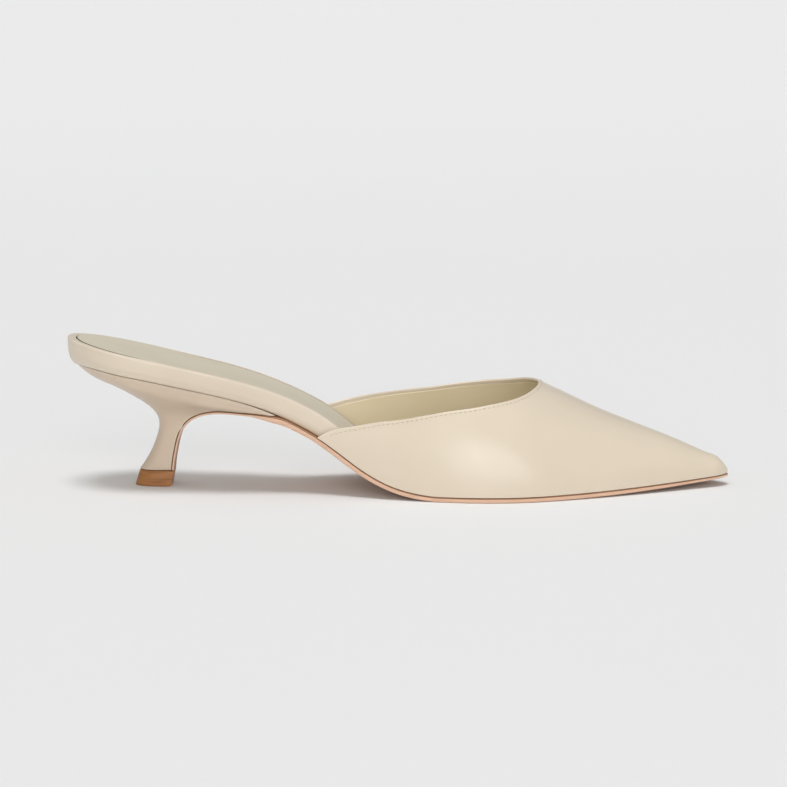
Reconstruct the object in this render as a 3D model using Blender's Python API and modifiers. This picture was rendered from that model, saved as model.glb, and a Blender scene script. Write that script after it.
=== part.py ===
"""A kitten heel mule for the right foot: a pointed vamp on a thin sole, over a low covered heel.

Lengths are in metres. The pieces are worked out in the last's frame: x runs from the back of
the heel to the toe tip, y from the outer (lateral) side, below zero, to the inner (medial)
side, and z up from the floor. An empty carries them all, with the shoe over its origin.
"""

import math

import bmesh
import bpy
import numpy as np

# The last
LENGTH = 0.262  # back of the heel to the toe tip
BALL_WIDTH = 0.078  # across the ball, outside the upper
SEAT_WIDTH = 0.050  # across the heel seat
HEEL_HEIGHT = 0.0483  # floor to the footbed's underside, at the back
VAMP_HEIGHT = 0.0412  # floor to the throat
TOE_SPRING = 0.0026  # rise of the sole line from the tread to the toe tip
TOE_ROUND = 0.0060  # length over which the toe closes to its tip
SEAT_ROUND = 0.0265  # length over which the heel seat closes at the back

# The pieces
CLEARANCE = 0.0003  # between pieces that meet
UPPER_WALL = 0.0016  # leather and lining together
SIDE_BULGE = 0.0010  # how far the upper's side swells past the sole's line
RIDGE_SHIFT = 0.0020  # how far the vamp's ridge lies towards the inner side
SOLE_THICKNESS = 0.0018
SOLE_MARGIN = 0.0003  # how far the sole's edge shows past the upper
SOLE_BEVEL = 0.0004
FOOTBED_EDGE = 0.0073  # the covered edge at the waist
EDGE_ROUND = 0.0018  # rounding of that edge where it turns under
BACK_TUCK = 2.0  # how many times further it turns under at the back of the heel
RIM_WIDTH = 0.0016  # the footbed's border around the sock
SOCK_THICKNESS = 0.0008
SOCK_SUNK = 0.0003  # how far the sock lies below the border
TIP_HEIGHT = 0.0062  # the top-piece
TIP_WIDTH = 0.0118
TIP_BACK = 0.0278  # from the back of the shoe to the top-piece's upper edge
TIP_LENGTH = 0.0139  # front to back, at its upper edge
TIP_SPREAD = 1.05  # how much wider and longer it is at the floor
TIP_LEAN = 0.0020  # how far the top-piece reaches back between its upper edge and the floor
BREAST_FLAP = 0.0009  # the sole's turned-down end, on the breast of the heel

# Places along the last, as shares of its length
THROAT = 0.7122
TREAD_BACK = 0.56  # the sole lies flat on the floor from here
TREAD_FRONT = 0.66  # to here
FOOTBED_FRONT = 0.935
WING_TIP = 0.316  # where the heel's top thins out under the waist
WAIST_JOIN = 0.352  # where the sole leaves the heel and follows the footbed
MARGIN_FROM = 0.44  # the sole's edge shows all round ahead of here
TAPER_FROM = 0.78  # the sole thins towards the toe from here
TOE_TAPER = 0.5  # by this share of its thickness
FLAP_BLEND = 0.18  # how far past the heel's wings the sole takes to reach its own width
SEAT_BOW = 0.6  # how far down the heel's back its seat's curve is felt
WING_BOW = 0.05  # and how far down its front edge

# Shape of the upper's section, as shares of its half-width and its rise
SIDE_UPRIGHT = 0.62
CROWN = 0.55
NOSE_ROUND = 0.85  # how far the ridge comes down at the toe tip

# Section of the footbed's edge: how far inside its outline, as shares of the edge's round, and
# how high, as shares of the height that the round takes up of the footbed's thickness
EDGE_SECTION = ((1.0, 0.0), (0.62, 0.14), (0.28, 0.45), (0.0, 1.0))
EDGE_RISE = 0.40
BACK_RISE = 0.70  # the same at the back of the heel
# Section of its border's outer round: insets and depths as shares of that round
BORDER_ROUND = 0.8  # as a share of the edge's round
BORDER_SECTION = ((0.0, 0.55), (0.35, 0.1), (1.0, 0.0))


def table(columns, *rows):
    """A short table as a dictionary of its named columns."""
    return dict(zip(columns.split(), np.array(rows, float).T))


# Rise of the footbed's underside behind the tread, as a share of the heel's height
ARCH = table(
    "along rise",
    (0.000, 1.000),
    (0.020, 1.014),
    (0.045, 1.0065),
    (0.080, 0.969),
    (0.120, 0.924),
    (0.160, 0.876),
    (0.200, 0.828),
    (0.250, 0.762),
    (0.300, 0.670),
    (0.350, 0.538),
    (0.375, 0.4605),
    (0.400, 0.3673),
    (0.425, 0.2656),
    (0.450, 0.171),
    (0.475, 0.0978),
    (0.500, 0.0473),
    (0.525, 0.0172),
    (TREAD_BACK, 0.000),
)

# Half-widths of the sole line, as shares of a half-width that goes from seat to ball
OUTLINE = table(
    "along ball lateral medial",
    (0.00, 0.00, 0.985, 0.860),
    (0.10, 0.00, 1.000, 0.815),
    (0.16, 0.00, 1.000, 0.745),
    (0.22, 0.00, 1.000, 0.655),
    (0.28, 0.02, 0.985, 0.560),
    (0.34, 0.10, 0.947, 0.510),
    (0.39, 0.30, 0.900, 0.500),
    (0.44, 0.50, 0.925, 0.580),
    (0.50, 0.75, 0.980, 0.704),
    (0.57, 1.00, 1.010, 0.810),
    (0.64, 1.00, 1.051, 0.938),
    (0.70, 1.00, 0.997, 0.949),
    (0.75, 1.00, 0.887, 0.877),
    (0.80, 1.00, 0.756, 0.767),
    (0.86, 1.00, 0.572, 0.592),
    (0.92, 1.00, 0.374, 0.395),
    (0.96, 1.00, 0.236, 0.251),
    (1.00, 1.00, 0.100, 0.105),
)

# Rise of the vamp's ridge above the sole line, as a share of its rise at the throat
RIDGE = table(
    "along rise",
    (0.350, 0.900),
    (0.400, 1.110),
    (0.450, 1.325),
    (0.500, 1.432),
    (0.550, 1.4325),
    (0.600, 1.347),
    (0.650, 1.222),
    (THROAT, 1.000),
    (0.745, 0.893),
    (0.775, 0.794),
    (0.805, 0.698),
    (0.835, 0.611),
    (0.865, 0.527),
    (0.895, 0.4437),
    (0.925, 0.3547),
    (0.955, 0.256),
    (0.975, 0.198),
    (1.000, 0.150),
)

# Rise of the topline on each side, as a share of the ridge's rise there
LATERAL_TOPLINE = table(
    "along rise",
    (0.377, 0.000),
    (0.392, 0.115),
    (0.408, 0.206),
    (0.430, 0.295),
    (0.460, 0.393),
    (0.500, 0.474),
    (0.550, 0.556),
    (0.600, 0.630),
    (0.640, 0.711),
    (0.670, 0.798),
    (0.690, 0.882),
    (THROAT, 1.000),
)
MEDIAL_TOPLINE = table(
    "along rise",
    (0.355, 0.000),
    (0.370, 0.105),
    (0.385, 0.194),
    (0.408, 0.307),
    (0.455, 0.460),
    (0.500, 0.538),
    (0.548, 0.590),
    (0.595, 0.654),
    (0.641, 0.739),
    (0.672, 0.827),
    (0.695, 0.925),
    (THROAT, 1.000),
)

# The footbed: its thickness as a share of its edge, and its step inside the upper
FOOTBED = table(
    "along thick tuck",
    (0.00, 1.60, 0.00),
    (0.02, 1.35, 0.00),
    (0.045, 1.19, 0.00),
    (0.08, 1.14, 0.00),
    (0.12, 1.12, 0.00),
    (0.16, 1.11, 0.00),
    (0.26, 1.09, 0.00),
    (0.30, 1.10, 0.55),
    (0.34, 1.13, 1.00),
    (0.40, 1.02, 1.02),
    (0.44, 0.80, 1.05),
    (0.48, 0.57, 1.05),
    (0.54, 0.42, 1.05),
    (0.70, 0.38, 1.10),
    (0.84, 0.37, 1.50),
    (0.935, 0.36, 2.10),
)

# Side view of the heel's back, from the seat to the top-piece
HEEL_BACK = table(
    "along rise",
    (0.0321, 0.928),
    (0.0622, 0.849),
    (0.0920, 0.766),
    (0.1073, 0.717),
    (0.1210, 0.663),
    (0.1313, 0.602),
    (0.1357, 0.543),
    (0.1361, 0.494),
    (0.1336, 0.430),
    (0.1294, 0.359),
    (0.1240, 0.291),
    (0.1160, 0.212),
)

# Side view of the heel's breast, from the waist to the top-piece
HEEL_BREAST = table(
    "along rise",
    (0.3378, 0.592),
    (0.3225, 0.624),
    (0.3053, 0.640),
    (0.2824, 0.651),
    (0.2595, 0.656),
    (0.2328, 0.657),
    (0.2122, 0.640),
    (0.1977, 0.613),
    (0.1832, 0.565),
    (0.1737, 0.508),
    (0.1660, 0.423),
    (0.1601, 0.297),
    (0.1576, 0.223),
)

# The sole's thickness, as a share, along its whole length from the heel's tip to the toe
SOLE = table(
    "place thick",
    (0.00, 0.50),
    (0.10, 0.50),
    (0.145, 0.47),
    (0.18, 0.44),
    (0.20, 0.54),
    (0.215, 0.86),
    (0.235, 1.30),
    (0.25, 1.38),
    (0.28, 1.18),
    (0.33, 1.14),
    (0.39, 1.05),
    (0.45, 1.00),
)

# Heel sections: places along its back and its breast, half-widths as shares of the seat's
HEEL = table(
    "back breast body lateral medial seat round",
    (0.00, 0.00, 1.00, 0.955, 0.510, 1.00, 0.45),
    (0.19, 0.16, 0.89, 0.900, 0.530, 0.72, 0.45),
    (0.38, 0.36, 0.70, 0.730, 0.520, 0.38, 0.48),
    (0.52, 0.53, 0.51, 0.500, 0.440, 0.14, 0.52),
    (0.63, 0.66, 0.36, 0.350, 0.330, 0.03, 0.58),
    (0.76, 0.79, 0.27, 0.260, 0.260, 0.00, 0.62),
    (0.88, 0.90, 0.240, 0.232, 0.232, 0.00, 0.64),
    (1.00, 1.00, 0.236, 0.228, 0.228, 0.00, 0.64),
)

# How finely the surfaces are stepped, how much closer the upper's steps are at the throat and the
# toe tip, and the heights of its topline over which its lower rows come level
UPPER_ROWS = 13
THROAT_CROWDING = 1.4
TOE_CROWDING = 1.7
LEVEL_FROM, LEVEL_FULL = 0.72, 0.90
WING_COLUMNS = 26
TOE_COLUMNS = 20
FOOTBED_STATIONS = 54
HEEL_ROWS = 22
HEEL_STEPS = 14
TIP_ROWS = 3
FLAP_STATIONS = 26
WAIST_STATIONS = 18
TREAD_STATIONS = 22


class Smooth:
    """A cubic curve through a table's points, with continuous curvature and straight ends."""

    def __init__(self, at, values, flat_end=False):
        self.at = np.asarray(at, float)
        self.values = np.asarray(values, float)
        self.step = np.diff(self.at)
        count = len(self.at)
        rows = np.zeros((count, count))
        right = np.zeros(count)
        rows[0, 0] = rows[-1, -1] = 1.0
        slope = np.diff(self.values) / self.step
        for i in range(1, count - 1):
            rows[i, i - 1 : i + 2] = self.step[i - 1], 2 * (self.step[i - 1] + self.step[i]), self.step[i]
            right[i] = 6 * (slope[i] - slope[i - 1])
        if flat_end:
            rows[-1, -2:] = self.step[-1], 2 * self.step[-1]
            right[-1] = -6 * slope[-1]
        self.bend = np.linalg.solve(rows, right)

    def parts(self, x):
        x = np.clip(np.asarray(x, float), self.at[0], self.at[-1])
        i = np.clip(np.searchsorted(self.at, x) - 1, 0, len(self.step) - 1)
        step = self.step[i]
        before = x - self.at[i]
        low = self.values[i] / step - self.bend[i] * step / 6
        high = self.values[i + 1] / step - self.bend[i + 1] * step / 6
        return i, step, before, step - before, low, high

    def __call__(self, x):
        i, step, before, after, low, high = self.parts(x)
        cubes = self.bend[i] * after**3 + self.bend[i + 1] * before**3
        return cubes / (6 * step) + low * after + high * before

    def slope(self, x):
        i, step, before, after, low, high = self.parts(x)
        squares = self.bend[i + 1] * before**2 - self.bend[i] * after**2
        return squares / (2 * step) - low + high


class Path:
    """A smooth curve in the side view, through points, measured along its own length."""

    def __init__(self, points):
        points = np.asarray(points, float)
        self.length_at = np.concatenate([[0.0], np.cumsum(np.linalg.norm(np.diff(points, axis=0), axis=1))])
        self.length = self.length_at[-1]
        self.x = Smooth(self.length_at, points[:, 0])
        self.z = Smooth(self.length_at, points[:, 1])

    def point(self, share, offset=0.0):
        """The points at shares of the length, moved to the right of the way along it."""
        s = np.asarray(share, float) * self.length
        dx, dz = self.x.slope(s), self.z.slope(s)
        size = np.hypot(dx, dz)
        return self.x(s) + offset * dz / size, self.z(s) - offset * dx / size


def closing(x, start, end, start_round, end_round):
    """The factor that closes an outline in a round at each end."""
    back = 1 - np.clip((x - start) / start_round, 0, 1)
    front = 1 - np.clip((end - x) / end_round, 0, 1)
    return np.sqrt(np.clip(1 - back**2, 0, 1)) * np.sqrt(np.clip(1 - front**2, 0, 1))


# The last's lines, as functions of x

arch_rise = Smooth(ARCH["along"], ARCH["rise"], flat_end=True)
ball_share = Smooth(OUTLINE["along"], OUTLINE["ball"])
lateral_share = Smooth(OUTLINE["along"], OUTLINE["lateral"])
medial_share = Smooth(OUTLINE["along"], OUTLINE["medial"])
ridge_share = Smooth(RIDGE["along"], RIDGE["rise"])
footbed_thick = Smooth(FOOTBED["along"], FOOTBED["thick"])
footbed_tuck = Smooth(FOOTBED["along"], FOOTBED["tuck"])


def sole_line(x):
    """Height of the line where the sole meets the footbed and the upper."""
    u = np.asarray(x, float) / LENGTH
    arch = np.where(u < TREAD_BACK, arch_rise(u), 0.0)
    spring = np.clip((u - TREAD_FRONT) / (1 - TREAD_FRONT), 0, None) ** 2
    return SOLE_THICKNESS + (HEEL_HEIGHT - SOLE_THICKNESS) * arch + TOE_SPRING * spring


def sole_slope(x):
    """Slope of that line in the side view."""
    u = np.asarray(x, float) / LENGTH
    arch = np.where(u < TREAD_BACK, arch_rise.slope(u), 0.0)
    spring = 2 * np.clip((u - TREAD_FRONT) / (1 - TREAD_FRONT), 0, None) / (1 - TREAD_FRONT)
    return ((HEEL_HEIGHT - SOLE_THICKNESS) * arch + TOE_SPRING * spring) / LENGTH


def open_width(x, side):
    """Half-width of the sole line before the rounds at its ends."""
    u = np.asarray(x, float) / LENGTH
    unit = (SEAT_WIDTH + (BALL_WIDTH - SEAT_WIDTH) * ball_share(u)) / 2
    return unit * (lateral_share(u) if side < 0 else medial_share(u))


def sole_width(x, side):
    """Half-width of the sole line on one side, -1 for lateral and 1 for medial."""
    return open_width(x, side) * closing(x, 0.0, LENGTH, SEAT_ROUND, TOE_ROUND)


def vamp_unit():
    """Rise of the ridge above the sole line at the throat."""
    return VAMP_HEIGHT - sole_line(THROAT * LENGTH)


def ridge_rise(x):
    """Rise of the upper's ridge above the sole line, closing at the toe tip."""
    near_tip = 1 - np.clip((LENGTH - x) / TOE_ROUND, 0, 1)
    return vamp_unit() * ridge_share(x / LENGTH) * (1 - NOSE_ROUND * near_tip**2) ** 0.8


def ridge_side(x):
    """How far the ridge lies towards the inner side: less and less towards the toe."""
    ahead = np.clip((x / LENGTH - THROAT) / (1 - THROAT), 0, 1)
    return RIDGE_SHIFT * (1 - ahead**2)


def along_section(x, side, t):
    """(y, z) on the upper's section at x, where t goes from 0 at the sole to 1 at the ridge."""
    width = sole_width(x, side)
    mean = (sole_width(x, -1) + sole_width(x, 1)) / 2
    rise = ridge_rise(x)
    shift = side * ridge_side(x)
    bulge = SIDE_BULGE * np.clip(width / (BALL_WIDTH / 2), 0, 1)
    foot, wall, crown, top = (1 - t) ** 3, 3 * t * (1 - t) ** 2, 3 * t**2 * (1 - t), t**3
    y = foot * width + wall * (width + bulge) + crown * (shift + CROWN * mean) + top * shift
    z = rise * (wall * SIDE_UPRIGHT + crown + top)
    return side * y, sole_line(x) + CLEARANCE + z


def section_share(rise_share):
    """The t at which a section has risen to this share of its ridge."""
    low, high = 0.0, 1.0
    for _ in range(40):
        t = (low + high) / 2
        risen = 3 * t * (1 - t) ** 2 * SIDE_UPRIGHT + 3 * t**2 * (1 - t) + t**3
        low, high = (t, high) if risen < rise_share else (low, t)
    return (low + high) / 2


# Making meshes


def mesh_object(name, points, faces, material, collection, parent, closed=True):
    mesh = bpy.data.meshes.new(name)
    mesh.from_pydata([tuple(p) for p in points], [], faces)
    build = bmesh.new()
    build.from_mesh(mesh)
    bmesh.ops.remove_doubles(build, verts=build.verts, dist=1e-6)
    bmesh.ops.dissolve_degenerate(build, edges=build.edges, dist=1e-7)
    if closed:
        bmesh.ops.recalc_face_normals(build, faces=build.faces)
    build.to_mesh(mesh)
    build.free()
    mesh.shade_smooth()
    mesh.set_sharp_from_angle(angle=math.radians(35))
    mesh.materials.append(material)
    obj = bpy.data.objects.new(name, mesh)
    obj.parent = parent
    collection.objects.link(obj)
    return obj


def loop_faces(rings, size):
    """Faces between rings of equal size, and a ladder across the first and the last ring."""
    faces = []
    for ring in range(rings - 1):
        for i in range(size):
            j = (i + 1) % size
            faces.append((ring * size + i, ring * size + j, (ring + 1) * size + j, (ring + 1) * size + i))
    for start in (0, (rings - 1) * size):
        for i in range(size // 2 - 1):
            far = size - 1 - i
            faces.append((start + i, start + i + 1, start + far - 1, start + far))
    return faces


def both_sides(x, lateral, medial, z):
    """One ring: along the lateral side and back along the medial side."""
    there = np.stack([x, -lateral, z], axis=1)
    back = np.stack([x, medial, z], axis=1)[::-1]
    return np.concatenate([there, back])


def material(name, color, roughness, coat=0.0):
    made = bpy.data.materials.new(name)
    made.use_nodes = True
    shader = made.node_tree.nodes["Principled BSDF"]
    shader.inputs["Base Color"].default_value = (*color, 1.0)
    shader.inputs["Roughness"].default_value = roughness
    shader.inputs["Metallic"].default_value = 0.0
    shader.inputs["Coat Weight"].default_value = coat
    return made


# The upper


def topline_columns(topline):
    """Stations from the wing's corner to the throat, closer together towards the throat."""
    start = topline["along"][0]
    t = np.linspace(0, 1, WING_COLUMNS + 1)
    return (THROAT - (THROAT - start) * (1 - t) ** THROAT_CROWDING) * LENGTH


def section_rows(top):
    """The t of each row up to the topline. Near the throat only the upper rows follow the topline down."""
    row = np.linspace(0, 1, UPPER_ROWS + 1)
    level = np.clip((top - LEVEL_FROM) / (LEVEL_FULL - LEVEL_FROM), 0, 1)
    return row * top + (1 - top) * level * (row - row**4)


def make_upper(collection, parent):
    left = np.linspace(1, 0, TOE_COLUMNS + 1)[1:]
    toe = LENGTH - (1 - THROAT) * LENGTH * left**TOE_CROWDING
    points, faces = [], []
    for side, topline in ((-1, LATERAL_TOPLINE), (1, MEDIAL_TOPLINE)):
        stations = np.concatenate([topline_columns(topline), toe])
        shares = Smooth(topline["along"], topline["rise"])(stations / LENGTH)
        start = len(points)
        for x, share in zip(stations, shares):
            top = 1.0 if x >= THROAT * LENGTH else section_share(share)
            y, z = along_section(x, side, section_rows(top))
            points += [(x, yy, zz) for yy, zz in zip(y, z)]
        for i in range(len(stations) - 1):
            for j in range(UPPER_ROWS):
                a = start + i * (UPPER_ROWS + 1) + j
                b = a + UPPER_ROWS + 1
                faces.append((a, b, b + 1, a + 1) if side < 0 else (a, a + 1, b + 1, b))
    leather = material("upper_leather", (0.74, 0.66, 0.52), 0.3, coat=0.6)
    upper = mesh_object("upper", points, faces, leather, collection, parent, closed=False)
    wall = upper.modifiers.new("Wall", "SOLIDIFY")
    wall.thickness = UPPER_WALL
    wall.offset = -1
    wall.use_even_offset = True
    wall.use_rim = True
    return upper


# The footbed and the sock


def footbed_ring(inset, height, back=1.0):
    """A ring of the footbed, this far inside its outline, and so many times further at the back."""
    start = back * inset
    front = FOOTBED_FRONT * LENGTH - inset
    t = np.linspace(0, math.pi, FOOTBED_STATIONS)
    x = start + (front - start) * (1 - np.cos(t)) / 2
    tuck = (UPPER_WALL + CLEARANCE) * footbed_tuck(x / LENGTH)
    round_off = closing(x, start, front, SEAT_ROUND - start, 0.5 * SEAT_ROUND)
    half = [(open_width(x, side) - tuck - inset) * round_off for side in (-1, 1)]
    slope = sole_slope(x) * np.clip(x / SEAT_ROUND, 0, 1)
    size = np.sqrt(1 + slope**2)
    rise = CLEARANCE + height(x)
    return both_sides(x - rise * slope / size, half[0], half[1], sole_line(x) + rise / size)


def band(x):
    """Thickness of the footbed."""
    return FOOTBED_EDGE * footbed_thick(x / LENGTH)


def edge_rise(x):
    """Height at which the edge's round ends, higher at the back of the heel."""
    near = np.clip(1 - x / SEAT_ROUND, 0, 1)
    return (EDGE_RISE + (BACK_RISE - EDGE_RISE) * near**2) * band(x)


def make_footbed(collection, parent):
    recess = SOCK_SUNK + SOCK_THICKNESS + CLEARANCE
    border = BORDER_ROUND * EDGE_ROUND
    rings = []
    for inset, share in EDGE_SECTION:
        rings.append(footbed_ring(inset * EDGE_ROUND, lambda x, share=share: share * edge_rise(x), BACK_TUCK))
    for inset, depth in BORDER_SECTION:
        rings.append(footbed_ring(inset * border, lambda x, depth=depth: band(x) - depth * border))
    rings.append(footbed_ring(RIM_WIDTH, band))
    rings.append(footbed_ring(RIM_WIDTH, lambda x: band(x) - recess))
    faces = loop_faces(len(rings), 2 * FOOTBED_STATIONS)
    leather = material("footbed_leather", (0.72, 0.63, 0.49), 0.35, coat=0.4)
    return mesh_object("footbed", np.concatenate(rings), faces, leather, collection, parent)


def make_sock(collection, parent):
    inset = RIM_WIDTH + CLEARANCE
    under = SOCK_SUNK + SOCK_THICKNESS
    rings = [
        footbed_ring(inset, lambda x: band(x) - under),
        footbed_ring(inset, lambda x: band(x) - SOCK_SUNK),
    ]
    faces = loop_faces(len(rings), 2 * FOOTBED_STATIONS)
    lining = material("sock_leather", (0.60, 0.57, 0.45), 0.6)
    return mesh_object("sock_lining", np.concatenate(rings), faces, lining, collection, parent)


# The heel


def breast_path():
    """The sole's upper face in the side view, from the heel's tip to the toe."""
    heel = np.stack([HEEL_BREAST["along"] * LENGTH, HEEL_BREAST["rise"] * HEEL_HEIGHT], axis=1)[::-1]
    tip = [(TIP_BACK + TIP_LENGTH - BREAST_FLAP, TIP_HEIGHT + CLEARANCE)]
    x = np.linspace(WAIST_JOIN, 1.0, 36) * LENGTH
    sole = np.stack([x, sole_line(x)], axis=1)
    return Path(np.concatenate([tip, heel, sole]))


SOLE_PATH = breast_path()


def place_of(along):
    """The share of the sole's own length at which it reaches this x, ahead of the heel."""
    shares = np.linspace(0, 1, 800)
    x = SOLE_PATH.point(shares)[0]
    ahead = shares > 0.1
    return float(np.interp(along * LENGTH, x[ahead], shares[ahead]))


WING_PLACE = place_of(WING_TIP)


def heel_width(breast, side):
    """Half-width of the heel's front edge, at a share of the way down the breast."""
    share = Smooth(HEEL["breast"], HEEL["lateral" if side < 0 else "medial"])(breast)
    return share * SEAT_WIDTH / 2


def round_back(p, length):
    return np.sqrt(np.clip(1 - (1 - np.clip(p / length, 0, 1)) ** 2, 0, 1))


def make_heel(collection, parent):
    start = BACK_TUCK * EDGE_ROUND
    back = np.stack([HEEL_BACK["along"] * LENGTH, HEEL_BACK["rise"] * HEEL_HEIGHT], axis=1)
    seat = [(start, float(sole_line(start)))]
    tip = [(TIP_BACK, TIP_HEIGHT + CLEARANCE)]
    back = Path(np.concatenate([seat, back, tip]))
    rows = np.linspace(0, 1, HEEL_ROWS)
    place = np.linspace(0, 1, len(HEEL["back"]))
    column = {name: Smooth(place, HEEL[name])(rows) for name in HEEL}
    p = (1 - np.cos(np.linspace(0, math.pi, HEEL_STEPS + 1))) / 2
    back_x, back_z = back.point(column["back"])
    breast_x, breast_z = SOLE_PATH.point(WING_PLACE * (1 - column["breast"]), -CLEARANCE)
    seat_x = back_x[0] + p * (breast_x[0] - back_x[0])
    seat_z = sole_line(seat_x)
    bow = seat_z - (back_z[0] + p * (breast_z[0] - back_z[0]))
    reach = SEAT_BOW + p * (WING_BOW - SEAT_BOW)
    seat_round = closing(seat_x, start, LENGTH, SEAT_ROUND - start, TOE_ROUND)
    rings = []
    for i in range(HEEL_ROWS):
        x = back_x[i] + p * (breast_x[i] - back_x[i])
        z = back_z[i] + p * (breast_z[i] - back_z[i]) + bow * np.clip(1 - rows[i] / reach, 0, 1) ** 2
        halves = []
        for side in (-1, 1):
            front = heel_width(column["breast"][i], side)
            body = column["body"][i] * SEAT_WIDTH / 2
            ease = p**2 * (3 - 2 * p)
            plain = (body + (front - body) * ease) * round_back(p, column["round"][i])
            widest = SEAT_WIDTH / 2 + (heel_width(0.0, side) - SEAT_WIDTH / 2) * ease
            narrowing = (body + (front - body) * ease) / widest
            outline = (open_width(seat_x, side) - EDGE_ROUND) * seat_round * narrowing
            share = column["seat"][i]
            halves.append(share * outline + (1 - share) * plain)
        rings.append(both_sides(x, halves[0], halves[1], z))
    faces = loop_faces(HEEL_ROWS, 2 * (HEEL_STEPS + 1))
    cover = material("heel_cover", (0.66, 0.54, 0.41), 0.4, coat=0.3)
    return mesh_object("heel", np.concatenate(rings), faces, cover, collection, parent)


def make_top_piece(collection, parent):
    """The tip that the heel stands on, about its own origin on the floor under its back edge."""
    p = 1 - np.cos(np.linspace(0, math.pi / 2, HEEL_STEPS + 1))
    rings = []
    for share in np.linspace(0, 1, TIP_ROWS):
        spread = TIP_SPREAD + (1 - TIP_SPREAD) * share
        half = TIP_WIDTH / 2 * spread * round_back(p, HEEL["round"][-1])
        x = TIP_LEAN * share + p * TIP_LENGTH * spread
        rings.append(both_sides(x, half, half, np.full(len(p), share * TIP_HEIGHT)))
    faces = loop_faces(TIP_ROWS, 2 * (HEEL_STEPS + 1))
    stack = material("tip_stack", (0.36, 0.21, 0.11), 0.55)
    tip = mesh_object("top_piece", np.concatenate(rings), faces, stack, collection, parent)
    tip.location.x = TIP_BACK - TIP_LEAN
    return tip


# The outsole


def outsole_width(place, side):
    """Half-width of the sole at a share of its own length."""
    x = SOLE_PATH.point(place)[0]
    tuck = (UPPER_WALL + CLEARANCE) * footbed_tuck(x / LENGTH)
    margin = np.interp(x / LENGTH, [WING_TIP, MARGIN_FROM], [0.0, 1.0])
    edge = (1 - margin) * (-tuck) + margin * SOLE_MARGIN
    waist = (open_width(x, side) + edge) * closing(x, 0.0, LENGTH + SOLE_MARGIN, SEAT_ROUND, TOE_ROUND)
    flap = heel_width(1 - np.clip(place / WING_PLACE, 0, 1), side)
    blend = np.clip((place / WING_PLACE - 1) / FLAP_BLEND, 0, 1)
    blend = blend**2 * (3 - 2 * blend)
    return (1 - blend) * flap + blend * waist


def make_outsole(collection, parent):
    tread = place_of(TREAD_BACK)
    places = np.concatenate([
        np.linspace(0, WING_PLACE, FLAP_STATIONS)[:-1],
        np.linspace(WING_PLACE, tread, WAIST_STATIONS)[:-1],
        tread + (1 - tread) * np.sin(np.linspace(0, math.pi / 2, TREAD_STATIONS)),
    ])
    ahead = np.clip((SOLE_PATH.point(places)[0] / LENGTH - TAPER_FROM) / (1 - TAPER_FROM), 0, 1)
    thick = Smooth(SOLE["place"], SOLE["thick"], flat_end=True)(places) * (1 - TOE_TAPER * ahead**2)
    lateral = outsole_width(places, -1)
    medial = outsole_width(places, 1)
    rings = []
    for inset, depth in ((0.0, 0.0), (0.0, 0.7), (1.0, 1.0)):
        x, z = SOLE_PATH.point(places, SOLE_THICKNESS * thick * depth)
        bevel = inset * SOLE_BEVEL
        rings.append(both_sides(x, np.maximum(lateral - bevel, 0), np.maximum(medial - bevel, 0), z))
    faces = loop_faces(len(rings), 2 * len(places))
    sole = material("sole_leather", (0.50, 0.31, 0.20), 0.5)
    return mesh_object("outsole", np.concatenate(rings), faces, sole, collection, parent)


def stand_on_origin(root, parts):
    """Moves the empty so that the shoe's box stands centred on the world's origin."""
    bpy.context.view_layer.update()
    graph = bpy.context.evaluated_depsgraph_get()
    corners = []
    for part in parts:
        evaluated = part.evaluated_get(graph)
        corners += [evaluated.matrix_world @ v.co for v in evaluated.to_mesh().vertices]
        evaluated.to_mesh_clear()
    corners = np.array(corners)
    low, high = corners.min(axis=0), corners.max(axis=0)
    root.location = (-(low[0] + high[0]) / 2, -(low[1] + high[1]) / 2, -low[2])


def main():
    for obj in list(bpy.data.objects):
        bpy.data.objects.remove(obj)
    collection = bpy.data.collections.new("kitten_heel_mule")
    bpy.context.scene.collection.children.link(collection)
    root = bpy.data.objects.new("shoe", None)
    collection.objects.link(root)
    makers = (make_upper, make_sock, make_footbed, make_outsole, make_heel, make_top_piece)
    parts = [make(collection, root) for make in makers]
    stand_on_origin(root, parts)


main()
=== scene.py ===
"""The looks of the kitten heel mule: smooth glossed leather over a thin sole and a covered heel.

Every piece is worked out in the last's frame, as the shoemaker sees it: x from the back of the
heel to the toe tip, y from the outer side, below zero, to the inner side, z up from the floor.
`place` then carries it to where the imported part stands.
"""

import math

import bmesh
import bpy
import numpy as np
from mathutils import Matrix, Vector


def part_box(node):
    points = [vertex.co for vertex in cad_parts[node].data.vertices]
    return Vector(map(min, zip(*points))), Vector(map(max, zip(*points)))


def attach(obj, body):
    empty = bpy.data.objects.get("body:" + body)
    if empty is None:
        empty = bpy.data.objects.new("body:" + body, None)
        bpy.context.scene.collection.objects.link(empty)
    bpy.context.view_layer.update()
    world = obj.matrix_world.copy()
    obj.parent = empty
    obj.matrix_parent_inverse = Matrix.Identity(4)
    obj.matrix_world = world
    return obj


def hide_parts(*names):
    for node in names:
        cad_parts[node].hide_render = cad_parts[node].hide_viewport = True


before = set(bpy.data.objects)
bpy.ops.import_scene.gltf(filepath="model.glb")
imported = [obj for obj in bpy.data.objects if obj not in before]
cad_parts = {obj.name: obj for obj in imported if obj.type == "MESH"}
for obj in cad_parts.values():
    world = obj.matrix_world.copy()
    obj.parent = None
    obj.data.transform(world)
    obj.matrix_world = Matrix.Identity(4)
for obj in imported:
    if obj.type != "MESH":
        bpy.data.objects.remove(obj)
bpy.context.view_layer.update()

# The last
LENGTH = 0.262
BALL_WIDTH = 0.078
SEAT_WIDTH = 0.050
HEEL_HEIGHT = 0.0483
VAMP_HEIGHT = 0.0412
TOE_SPRING = 0.0026
TOE_ROUND = 0.0060
SEAT_ROUND = 0.0265

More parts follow.
